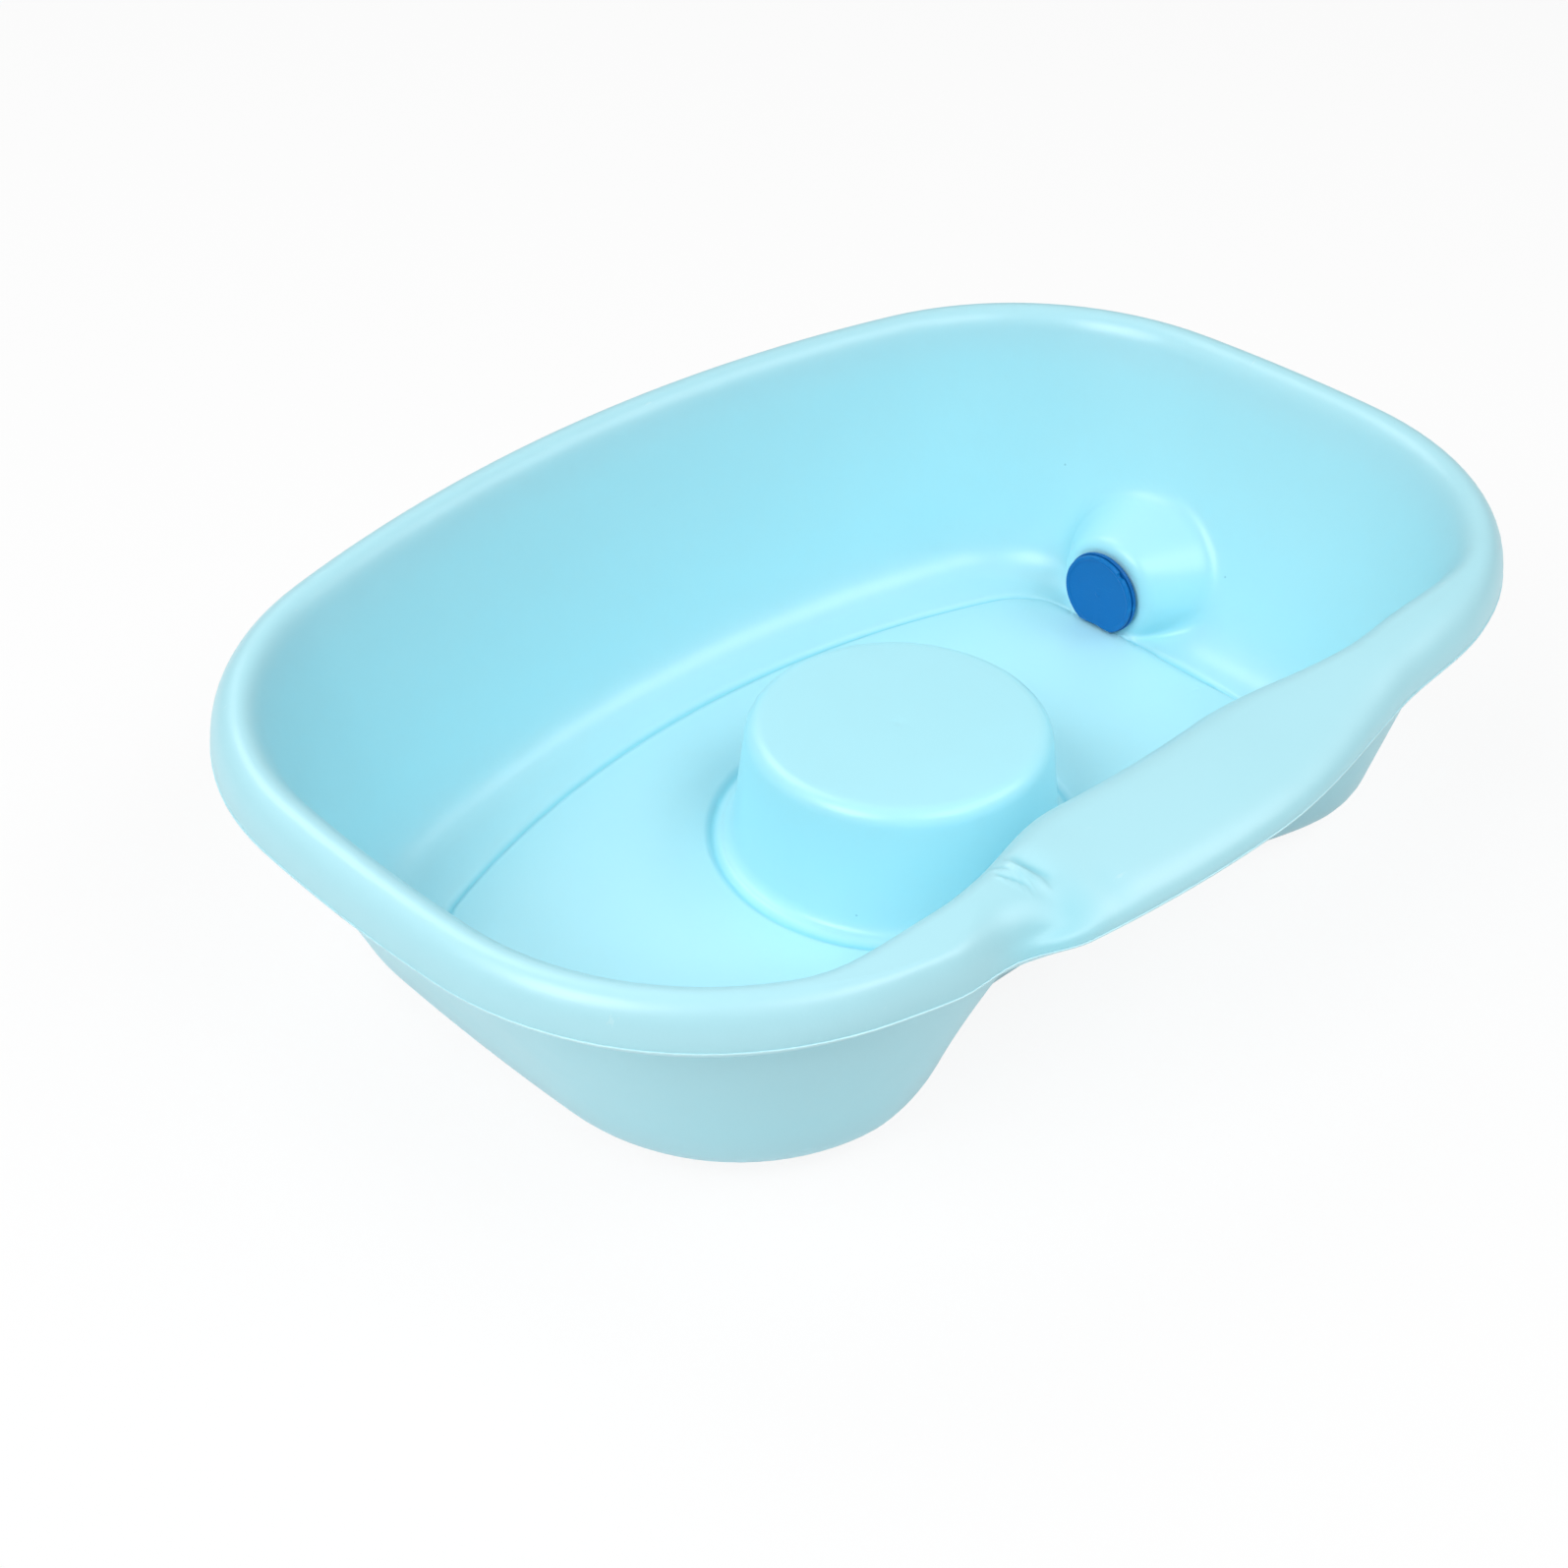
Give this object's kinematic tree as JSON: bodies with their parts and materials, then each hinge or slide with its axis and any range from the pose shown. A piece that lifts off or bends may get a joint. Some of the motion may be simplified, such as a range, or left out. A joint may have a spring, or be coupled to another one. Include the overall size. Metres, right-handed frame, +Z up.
{
  "type": "portable shampoo basin",
  "caption": "Shallow oval hair-washing basin with a rolled rim, a dipped neck rest, a raised pillar in the bowl and a stoppered drain outlet.",
  "frame": {"origin": "middle of the box round the basin, on the table it stands on", "axes": "+X along the long side, towards the end with the drain; -Y towards the neck rest; +Z up"},
  "size_m": [0.46, 0.33, 0.11],
  "materials": {
    "basin_plastic": "pale cyan, smooth and softly glossy",
    "fitting_plastic": "blue, satin",
    "stopper_plastic": "blue, satin",
    "washer_rubber": "dark grey, matt"
  },
  "bodies": {
    "basin": {"basin_body": "basin_plastic", "blow_hole_plug": "basin_plastic", "drain_outlet": "fitting_plastic", "lock_nut": "fitting_plastic", "sealing_washer": "washer_rubber"},
    "stopper": {"drain_plug": "stopper_plastic"}
  },
  "joints": [
    {"name": "stopper_pull", "type": "slide", "parent": "basin", "child": "stopper", "axis": [-1, 0, 0], "range_m": [0, 0.04]}
  ]
}
